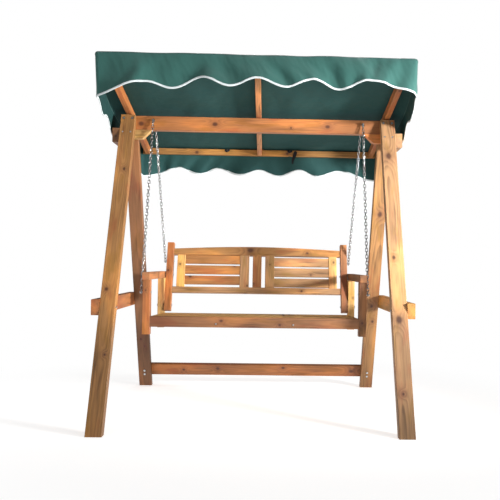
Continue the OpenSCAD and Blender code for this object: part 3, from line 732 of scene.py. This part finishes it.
class SWING_OT_screws(bpy.types.Operator):
    """Drive the countersunk screws"""
    bl_idname = "swing.screws"
    bl_label = "Screws"

    def execute(self, context):
        metal = context.scene.swing_metal
        pattern, tree = screw_pattern(), screw_tree()
        plate = zinc_plate("zinc_screws", metal.zinc_colour)
        for node, body in (("frame_screws", "stand"), ("bench_screws", "bench")):
            heads = screw_heads(node)
            points = plain_object("screw_points", [place for place, _ in heads])
            keep_vectors(points, "facing", [facing for _, facing in heads])
            made = carried_out(points, tree, {"Pattern": pattern, "Seed": metal.seed,
                                              "Material": plate}, node[:-1] + "_heads")
            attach(made, body)
            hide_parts(node)
        bpy.data.objects.remove(pattern)
        return {"FINISHED"}


# ---- canopy cover ----

class Cover:
    """The shape of the canopy cover, worked out from the roof's and the edges' boxes."""

    def __init__(self, settings):
        self.s = settings
        roof_low, roof_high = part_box("canopy_roof")
        front_low, front_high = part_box("canopy_valance_front")
        self.half_y = roof_high.y
        self.corner_x = front_high.x
        self.bow = roof_high.x - front_high.x
        self.front_z = roof_high.z
        self.rear_z = roof_low.z + 3 * MM
        inner, outer = (edge.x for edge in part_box("rafter_right"))
        self.bay, self.half_rafter = (inner + outer) / 2, (outer - inner) / 2
        self.free_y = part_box("canopy_rail_rear")[0].y - 4 * MM

    def side_x(self, y):
        return self.corner_x + self.bow * math.cos(math.pi / 2 * y / self.half_y)

    def plan(self, a, b):
        """The plan place for grid shares a and b from -1 to 1, with rounded corners."""
        y = b * self.half_y
        x = a * self.side_x(y)
        radius = self.s.round_corner
        over_x = abs(x) - (self.side_x(y) - radius)
        over_y = abs(y) - (self.half_y - radius)
        if over_x > 0 and over_y > 0:
            share = max(over_x, over_y) / math.hypot(over_x, over_y)
            x -= math.copysign(over_x * (1 - share), x)
            y -= math.copysign(over_y * (1 - share), y)
        return x, y

    def roof(self, x, y):
        slope = (self.front_z - self.rear_z) / (2 * self.half_y)
        level = (self.front_z + self.rear_z) / 2 - y * slope - 1.2 * MM
        bay = (abs(x) - self.half_rafter) / (self.bay - 2 * self.half_rafter)
        bay = min(1.0, max(0.0, bay))
        across = 1 - (2 * bay - 1) ** 2
        deep = max(0.0, 1 - abs(y / self.free_y) ** 3)
        crease = noise.noise(Vector((x * 7, y * 2.2 - x * 2.4, 3.1)))
        ripple = noise.noise(Vector((x * 15 + y * 5, y * 4.5, 8.7)))
        loose = min(1.0, max(0.0, (self.free_y - abs(y)) / 0.06)) * across
        rim = (0.6 + noise.noise(Vector((x * 6.5, 4.4, y * 1.5)))) * 0.004
        rafter_end = self.bay + self.half_rafter + 1 * MM
        over = max(0.0, abs(x) - rafter_end) / (self.side_x(y) - rafter_end)
        level -= self.shoulder(y) * min(over, 1.0) ** 1.3
        sag = self.s.sag * across * deep
        return level + max(rim, 0.0) - sag + loose * (crease * 0.008 + ripple * 0.004)

    def shoulder(self, y):
        return self.s.shoulder * math.cos(math.pi / 2 * y / self.half_y)

    def drop(self, u, half, first, corner):
        """The drop at a distance u from the middle of a side; first is its outermost crown."""
        if abs(u) < first:
            wave = (1 - math.cos(math.tau * (first - abs(u)) / self.s.scallop_length)) / 2
            return self.s.drop + self.s.scallop * wave
        share = (abs(u) - first) / (half - first)
        return self.s.drop + corner * (1 - math.cos(math.pi * share)) / 2

    def drop_at(self, x, y):
        across = (self.half_y - abs(y)) * (self.corner_x / self.half_y)
        along = self.side_x(y) - abs(x)
        corner = self.s.corner * (self.s.short_corner if x > 0 > y else 1.0)
        slack = self.s.slack * self.ease(-x / self.corner_x) * self.ease(-y / self.half_y)
        if across < along:
            return slack + self.drop(x, self.corner_x, 2 * self.s.scallop_length, corner)
        side = self.drop(y, self.half_y, 1.5 * self.s.scallop_length, corner)
        return slack + side - self.shoulder(y)

    @staticmethod
    def ease(share):
        """0 up to a third of the way out, 1 from three quarters on."""
        share = min(1.0, max(0.0, (share - 0.33) / 0.42))
        return share * share * (3 - 2 * share)

    def fold(self, s, q, corner, share):
        """How far the edge cloth stands out at a run s along the edge and a share q down it."""
        lean = s + 0.11 * q * math.sin(s * 4.3 + 0.9)
        slow = noise.noise(Vector((lean * 5.0, 0.7 + q * 0.5, 1.3)))
        quick = noise.noise(Vector((lean * 12.0, 5.2 + q * 0.9, 2.9)))
        pleat = noise.noise(Vector((lean * 26.0 - q * 2.2, 9.4 + q * 1.6, 6.1)))
        wave = 0.42 + 1.25 * slow + 0.60 * quick + 0.08 * pleat
        soft = 0.65 + 0.65 * math.tanh((wave - 0.5) * 1.5)
        loose = self.s.fold * q ** 0.75 * soft
        return loose * (1 - corner) * share - self.s.tuck * corner * q

    def near_corner(self, x, y):
        """1 at a corner of the cover, 0 from about a hand's length away."""
        gap = math.hypot(self.side_x(y) - abs(x), self.half_y - abs(y))
        return max(0.0, 1 - gap / 0.11) ** 1.5


def cover_mesh(settings):
    """The cover's points and faces in one sheet, its cloth map, its hem and its top edge."""
    cover = Cover(settings)
    across, deep, rows = 176, 120, 18
    points, map_uv, faces = [], [], []
    grid = {}
    for j in range(deep + 1):
        for i in range(across + 1):
            x, y = cover.plan(2 * i / across - 1, 2 * j / deep - 1)
            grid[i, j] = len(points)
            points.append(Vector((x, y, cover.roof(x, y))))
            map_uv.append((x, y))
    for j in range(deep):
        for i in range(across):
            faces.append((grid[i, j], grid[i + 1, j], grid[i + 1, j + 1], grid[i, j + 1]))
    loop = ([grid[i, 0] for i in range(across)] + [grid[across, j] for j in range(deep)]
            + [grid[i, deep] for i in range(across, 0, -1)] + [grid[0, j] for j in range(deep, 0, -1)])
    count = len(loop)
    outward, run, s = [], [], 0.0
    for n, index in enumerate(loop):
        before, after = points[loop[n - 1]], points[loop[(n + 1) % count]]
        way = after - before
        outward.append(Vector((way.y, -way.x, 0)).normalized())
        run.append(s)
        s += (after - points[index]).length
    strips, above = [loop], loop
    for k in range(1, rows + 1):
        q = (k / rows) ** 1.25
        below = []
        for n, index in enumerate(loop):
            edge = points[index]
            fall = cover.drop_at(edge.x, edge.y) * q
            lap = 1.2 * MM * min(1.0, q * 8)
            corner = cover.near_corner(edge.x, edge.y)
            share = 0.3 + 0.7 * abs(outward[n].y)
            out = outward[n] * (lap + cover.fold(run[n], q, corner, share))
            below.append(len(points))
            points.append(edge + out - Vector((0, 0, fall)))
            map_uv.append((run[n], -1.0 - fall))
        for n in range(count):
            m = (n + 1) % count
            faces.append((above[n], below[n], below[m], above[m]))
        strips.append(below)
        above = below
    return points, faces, map_uv, strips, outward


def woven_cloth(name, shade, thread=620.0, sheen=0.25, creases=0.0):
    """Plain-woven cloth: threads, slubs, a little fading and dust."""
    material, bench = new_material(name)
    place = bench.add("ShaderNodeUVMap", {"uv_map": "cloth"})
    here = bench.here()
    u, v, _ = bench.split(place)
    warp = (u * (thread * math.pi)).maths("SINE")
    weft = (v * (thread * math.pi)).maths("SINE")
    weave = (warp * weft + 1) * 0.5
    slub = bench.noise(bench.join(u * 900, v * 60, 0.0), 1.0, 2.0)
    slub_across = bench.noise(bench.join(u * 60, v * 900, 4.0), 1.0, 2.0)
    faded = bench.noise(here, 3.2, 3.0, 0.55)
    dusty = bench.noise(here, 14.0, 4.0, 0.6)
    body = bench.mix(weave * 0.35, full(shade), full(scaled(shade, 0.72)))
    body = bench.mix((slub + slub_across - 0.75) * 0.7, body, full(scaled(shade, 1.35)))
    body = bench.mix(bench.ramp(faded, 0.45, 0.75) * 0.35, body, full(scaled(shade, 1.25)))
    body = bench.mix(bench.ramp(dusty, 0.55, 0.85) * 0.22, body, full(scaled(shade, 0.6)))
    across, deep, rise = bench.split(here)
    hang = bench.join(across * 5.5 + rise * 2.4, deep * 5.5, rise * 2.2)
    crumple = bench.noise(hang, 1.0, 3.0, 0.45)
    crease = bench.bump(0.8, creases, crumple)
    height = weave + (slub + slub_across) * 0.6 + dusty * 0.8
    bump = bench.bump(0.5, 0.4 * MM, height, crease)
    finish_material(bench, {
        "Base Color": body, "Roughness": 0.74 + slub * 0.16, "Normal": bump,
        "Specular IOR Level": 0.3, "Sheen Weight": sheen, "Sheen Roughness": 0.5})
    return material


def cover_sheet(settings):
    points, faces, map_uv, strips, outward = cover_mesh(settings)
    obj = plain_object("canopy_cover", points, faces=faces)
    layer = obj.data.uv_layers.new(name="cloth")
    for loop in obj.data.loops:
        layer.data[loop.index].uv = map_uv[loop.vertex_index]
    obj.data.polygons.foreach_set("use_smooth", [True] * len(faces))
    wall = obj.modifiers.new("wall", "SOLIDIFY")
    # The inner faces take the second material, the darker painted shade of the underside.
    wall.thickness, wall.offset, wall.material_offset = settings.thickness, 0.0, 1
    return obj, points, strips, outward


class SWING_OT_cover(bpy.types.Operator):
    """Make the canopy cover, its seam, its bound hem and the stitches"""
    bl_idname = "swing.cover"
    bl_label = "Canopy cover"

    def execute(self, context):
        s = context.scene.swing_cover
        obj, points, strips, outward = cover_sheet(s)
        give(obj, woven_cloth("cover_cloth", s.cloth_colour, creases=s.crease))
        # Second material for the inner faces: the cloth colour darkened as painted shade of the
        # underside.
        obj.data.materials.append(woven_cloth("cover_inside_shaded", s.shaded_inside_colour, sheen=0.0,
                                              creases=s.crease * 0.4))
        tape = woven_cloth("binding_tape", s.binding_colour, 900.0, 0.1)
        welt_cloth = woven_cloth("welt_cloth", scaled(s.cloth_colour, 0.8))
        tree = edge_tree()
        hem = [points[i] for i in strips[-1]]
        up = Vector((0, 0, s.binding_width / 2 - 1.5 * MM))
        binding = self.follow(tree, [p + up for p in hem], s.binding_thickness,
                              s.binding_width, tape, "canopy_binding")
        top = [points[i] + outward[n] * MM - Vector((0, 0, 5 * MM))
               for n, i in enumerate(strips[0])]
        welt = self.follow(tree, top, 3.2 * MM, 3.2 * MM, welt_cloth, "canopy_welt")
        out = s.binding_thickness / 2 - 0.1 * MM
        line = [p + outward[n] * out + Vector((0, 0, s.binding_width - 3.5 * MM))
                for n, p in enumerate(hem)]
        thread, bench = new_material("binding_thread")
        here = bench.here()
        fuzz = bench.noise(here, 900.0)
        shade = bench.mix(fuzz, full(scaled(s.binding_colour, 0.9)),
                          full(scaled(s.binding_colour, 0.55)))
        finish_material(bench, {"Base Color": shade, "Roughness": 0.6})
        stitches = self.stitch(line, s.stitch_length, thread)
        for piece in (obj, binding, welt, stitches):
            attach(piece, "stand")
        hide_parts("canopy_roof", "canopy_valance_front", "canopy_valance_rear",
                    "canopy_valance_left", "canopy_valance_right")
        cover = Cover(s)
        wide = 2 * (cover.corner_x + cover.bow + s.drop + s.corner)
        deep = 2 * (cover.half_y + s.drop + s.corner)
        return {"FINISHED"}

    @staticmethod
    def loop_object(name, line):
        count = len(line)
        return plain_object(name, line, [(i, (i + 1) % count) for i in range(count)])

    def follow(self, tree, line, thick, wide, material, name):
        made = carried_out(self.loop_object("line", line), tree,
                           {"Thickness": thick, "Width": wide, "Material": material}, name)
        map_tape(made)
        return made

    def stitch(self, line, size, material):
        return carried_out(self.loop_object("line", line), stitch_tree(),
                           {"Length": size, "Material": material}, "canopy_stitches")


def map_tape(obj):
    """A cloth map for a tape: plain places along the two longest directions."""
    layer = obj.data.uv_layers.get("cloth") or obj.data.uv_layers.new(name="cloth")
    for loop in obj.data.loops:
        p = obj.data.vertices[loop.vertex_index].co
        layer.data[loop.index].uv = (p.x + p.y, p.z)


def edge_tree():
    """A flat tape with round edges along a closed line, standing upright."""
    tree, bench, wire = node_group("follow_edge", (
        ("Thickness", "Float"), ("Width", "Float"), ("Material", "Material")))
    line = bench.add("GeometryNodeMeshToCurve", None, {"Mesh": wire["Geometry"]})
    stood = bench.add("GeometryNodeSetCurveNormal", {"mode": "Z_UP"}, {"Curve": line})
    flat = bench.add("GeometryNodeCurvePrimitiveCircle", None, {"Resolution": 10, "Radius": 1.0})
    place = bench.add("GeometryNodeInputPosition")
    x, y, _ = bench.split(place)

    def squared(part):
        side = bench.add("ShaderNodeMath", {"operation": "SIGN"}, {0: part})
        return side * (part.maths("ABSOLUTE") ** 0.55)

    shaped = bench.add("GeometryNodeSetPosition", None, {
        "Geometry": flat, "Position": bench.join(squared(x) * wire["Thickness"] / 2,
                                                 squared(y) * wire["Width"] / 2, 0.0)})
    body = bench.add("GeometryNodeCurveToMesh", None, {"Curve": stood, "Profile Curve": shaped})
    close_group(bench, body, wire["Material"])
    return tree


def stitch_tree():
    """Small stitches in a row along a closed line."""
    tree, bench, wire = node_group("stitch_edge", (
        ("Length", "Float"), ("Material", "Material")))
    line = bench.add("GeometryNodeMeshToCurve", None, {"Mesh": wire["Geometry"]})
    points = bench.add("GeometryNodeCurveToPoints", {"mode": "LENGTH"},
                       {"Curve": line, "Length": wire["Length"] * 1.35})
    tangent, = bench.outputs(points, "Tangent")
    upright = bench.add("FunctionNodeAlignRotationToVector", {"axis": "X"}, {"Vector": tangent})
    bead = bench.add("GeometryNodeMeshUVSphere", None,
                     {"Segments": 5, "Rings": 4, "Radius": 0.5})
    size = bench.join(wire["Length"], 0.8 * MM, 0.8 * MM)
    row = bench.add("GeometryNodeInstanceOnPoints", None,
                    {"Points": points, "Instance": bead, "Rotation": upright, "Scale": size})
    close_group(bench, row, wire["Material"])
    return tree


# ---- tie straps ----

def ribbon(name, path, widths, sides, thick):
    """A flat strap along a path; each point has a width and a direction across."""
    points, faces = [], []
    for n, place in enumerate(path):
        before, after = path[max(n - 1, 0)], path[min(n + 1, len(path) - 1)]
        way = (after - before).normalized()
        across = (sides[n] - way * sides[n].dot(way)).normalized()
        out = way.cross(across) * thick / 2
        half = across * widths[n] / 2
        points += [place - half - out, place + half - out, place + half + out, place - half + out]
    for n in range(len(path) - 1):
        for i in range(4):
            j = (i + 1) % 4
            faces.append((4 * n + i, 4 * n + j, 4 * n + 4 + j, 4 * n + 4 + i))
    last = 4 * (len(path) - 1)
    faces += [(3, 2, 1, 0), (last, last + 1, last + 2, last + 3)]
    obj = plain_object(name, points, faces=faces)
    work = bmesh.new()
    work.from_mesh(obj.data)
    bmesh.ops.recalc_face_normals(work, faces=work.faces)
    work.to_mesh(obj.data)
    work.free()
    map_tape(obj)
    soft = obj.modifiers.new("soft", "SUBSURF")
    soft.levels = soft.render_levels = 2
    return obj


class SWING_OT_straps(bpy.types.Operator):
    """Tie the cover to its rear rail with two webbing straps"""
    bl_idname = "swing.straps"
    bl_label = "Tie straps"

    def execute(self, context):
        s = context.scene.swing_straps
        low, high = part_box("tie_straps")
        rail_low, rail_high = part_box("canopy_rail_rear")
        web = woven_cloth("strap_web", s.strap_colour, 700.0, 0.15)
        front, back = low.y, rail_high.y
        top, bottom = rail_high.z, rail_low.z
        across, away = Vector((1, 0, 0)), Vector((0, -1, 0))

        def path(start, *steps):
            return [Vector((start + x, front + out * MM, z)) for x, out, z in steps]

        skew = 0.009
        tail = path(high.x + 1.5 * MM,
                    (skew, -1.2, top - 2 * MM), (skew * 0.6, -1.4, (top + bottom) / 2),
                    (0, -1.0, bottom + 2 * MM), (-skew * 0.6, 0.2, bottom - 14 * MM),
                    (-skew * 1.4, -0.4, bottom - 32 * MM), (-skew * 1.2, 0, low.z + 3 * MM))
        widths = [s.width * w for w in (1.0, 0.92, 0.96, 0.8, 0.66, 0.55)]
        turns = [across] * 3 + [across + away * part for part in (0.25, 0.6, 0.5)]
        pieces = [ribbon("strap_tail", tail, widths, turns, s.thickness)]
        wide = [s.width * w for w in (0.75, 0.6, 0.45, 0.6, 0.75)]
        lie = [Vector(way) for way in ((1, 0, 0.6), (1, -0.3, 0.9), (0.2, -0.4, 1),
                                       (-1, -0.3, 0.9), (-1, 0, 0.6))]
        for name, knot_x, dip in (("left", s.width / 2 - high.x, 20),
                                  ("right", high.x - s.width / 2 - 0.018, 13)):
            knot = path(knot_x, (-0.012, -1.0, top - 1 * MM), (-0.006, -4.0, top - 9 * MM),
                        (0, -5.0, top - dip * MM), (0.008, -4.2, top - 8 * MM),
                        (0.017, -1.0, top - 1 * MM))
            pieces.append(ribbon("strap_knot_" + name, knot, wide, lie, s.thickness))
        under = [Vector((knot_x + 0.003, y, bottom - 1.4 * MM))
                 for y in (front + 2 * MM, back - 2 * MM)]
        pieces.append(ribbon("strap_wrap_right", under, [s.width] * 2, [across] * 2, s.thickness))
        for piece in pieces:
            give(piece, web)
            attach(piece, "stand")
        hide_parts("tie_straps")
        return {"FINISHED"}


# ---- stage ----

WHITE = (1.0, 1.0, 1.0, 1.0)


class SWING_OT_stage(bpy.types.Operator):
    """Set the camera, the lights and the floor"""
    bl_idname = "swing.stage"
    bl_label = "Stage"

    def execute(self, context):
        s, scene = context.scene.swing_stage, context.scene
        camera = bpy.data.cameras.new("camera")
        camera.lens, camera.sensor_width = s.lens, 36.0
        camera.shift_x, camera.shift_y = s.shift_x, s.shift_y
        camera.clip_end = 60
        stand = bpy.data.objects.new("camera", camera)
        scene.collection.objects.link(stand)
        ahead = Vector((math.sin(s.yaw) * math.cos(s.pitch),
                        math.cos(s.yaw) * math.cos(s.pitch), math.sin(s.pitch)))
        level = Vector((math.cos(s.yaw), -math.sin(s.yaw), 0))
        upright = level.cross(ahead)
        right = math.cos(s.roll) * level + math.sin(s.roll) * upright
        above = -math.sin(s.roll) * level + math.cos(s.roll) * upright
        turn = Matrix((right, above, -ahead)).transposed().to_4x4()
        stand.matrix_world = Matrix.Translation(s.camera_place) @ turn
        scene.camera = stand
        scene.view_settings.view_transform = "Standard"
        for name, place, aim, power, size, spread in (
                ("key", (3.2, -3.1, 2.7), (0.0, 0.0, 1.1), 0.62, 1.1, 180),
                ("side", (3.0, -1.9, 1.30), (0.15, 0.0, 1.25), 1.05, 0.5, 60),
                ("fill", (-2.6, -3.6, 2.6), (0.0, 0.0, 1.0), 0.34, 1.3, 180),
                ("top", (0.0, 0.9, 5.0), (0.0, 0.1, 1.7), 0.75, 2.0, 180)):
            self.light(name, place, aim, s.key_power * power, size, spread)
        self.floor(s)
        self.sky(scene, s.sky)
        return {"FINISHED"}

    @staticmethod
    def light(name, place, aim, power, size, spread):
        lamp = bpy.data.lights.new(name, "AREA")
        lamp.energy, lamp.size, lamp.spread = power, size, math.radians(spread)
        obj = bpy.data.objects.new(name, lamp)
        bpy.context.scene.collection.objects.link(obj)
        obj.location = place
        way = Vector(aim) - Vector(place)
        obj.rotation_euler = way.to_track_quat("-Z", "Y").to_euler()

    @staticmethod
    def floor(s):
        far = 14.0
        corners = [(-far, -far, 0), (far, -far, 0), (far, far, 0), (-far, far, 0)]
        obj = plain_object("floor", corners, faces=[(0, 1, 2, 3)])
        material, bench = new_material("floor")
        here = bench.here()
        x, y, _ = bench.split(here)
        away = bench.ramp((x * x + y * y) ** 0.5, 0.9, 2.2)
        surface = bench.add("ShaderNodeBsdfDiffuse", None, {"Color": full(s.floor_colour)})
        glow, far_off = (bench.add("ShaderNodeEmission", None, {"Color": WHITE, "Strength": power})
                         for power in (0.64, 1.0))
        near = bench.add("ShaderNodeAddShader", None, {0: surface, 1: glow})
        both = bench.add("ShaderNodeMixShader", None, {0: away, 1: near, 2: far_off})
        bench.add("ShaderNodeOutputMaterial", None, {"Surface": both})
        give(obj, material)

    @staticmethod
    def sky(scene, strength):
        world = bpy.data.worlds.new("sky")
        scene.world = world
        world.use_nodes = True
        world.node_tree.nodes.clear()
        bench = NodeBench(world.node_tree)
        seen = bench.add("ShaderNodeLightPath", out="Is Camera Ray")
        even, white = (bench.add("ShaderNodeBackground", None, {"Color": WHITE, "Strength": power})
                       for power in (strength, 1.0))
        both = bench.add("ShaderNodeMixShader", None, {0: seen, 1: even, 2: white})
        bench.add("ShaderNodeOutputWorld", None, {"Surface": both})


# ---- panel and registration ----

OPERATORS = (SWING_OT_stage, SWING_OT_cover, SWING_OT_straps, SWING_OT_chains,
             SWING_OT_timber, SWING_OT_fittings, SWING_OT_screws)
SETTINGS = (("swing_timber", SwingTimberSettings), ("swing_cover", SwingCoverSettings),
            ("swing_metal", SwingMetalSettings), ("swing_straps", SwingStrapSettings),
            ("swing_stage", SwingStageSettings))


class SWING_PT_panel(bpy.types.Panel):
    """The swing bench's pieces and settings"""
    bl_idname = "SWING_PT_panel"
    bl_label = "Swing bench"
    bl_space_type = "VIEW_3D"
    bl_region_type = "UI"
    bl_category = "Swing bench"

    def draw(self, context):
        for operator in OPERATORS:
            self.layout.operator(operator.bl_idname)
        for label, group in SETTINGS:
            box = self.layout.box()
            for key in group.__annotations__:
                box.prop(getattr(context.scene, label), key)


def register():
    for label, group in SETTINGS:
        bpy.utils.register_class(group)
        setattr(bpy.types.Scene, label, PointerProperty(type=group))
    for thing in (*OPERATORS, SWING_PT_panel):
        bpy.utils.register_class(thing)


def unregister():
    for thing in (SWING_PT_panel, *reversed(OPERATORS)):
        bpy.utils.unregister_class(thing)
    for label, group in reversed(SETTINGS):
        delattr(bpy.types.Scene, label)
        bpy.utils.unregister_class(group)


def main():
    register()
    for operator in OPERATORS:
        group, name = operator.bl_idname.split(".")
        getattr(getattr(bpy.ops, group), name)()


if __name__ == "__main__":
    main()
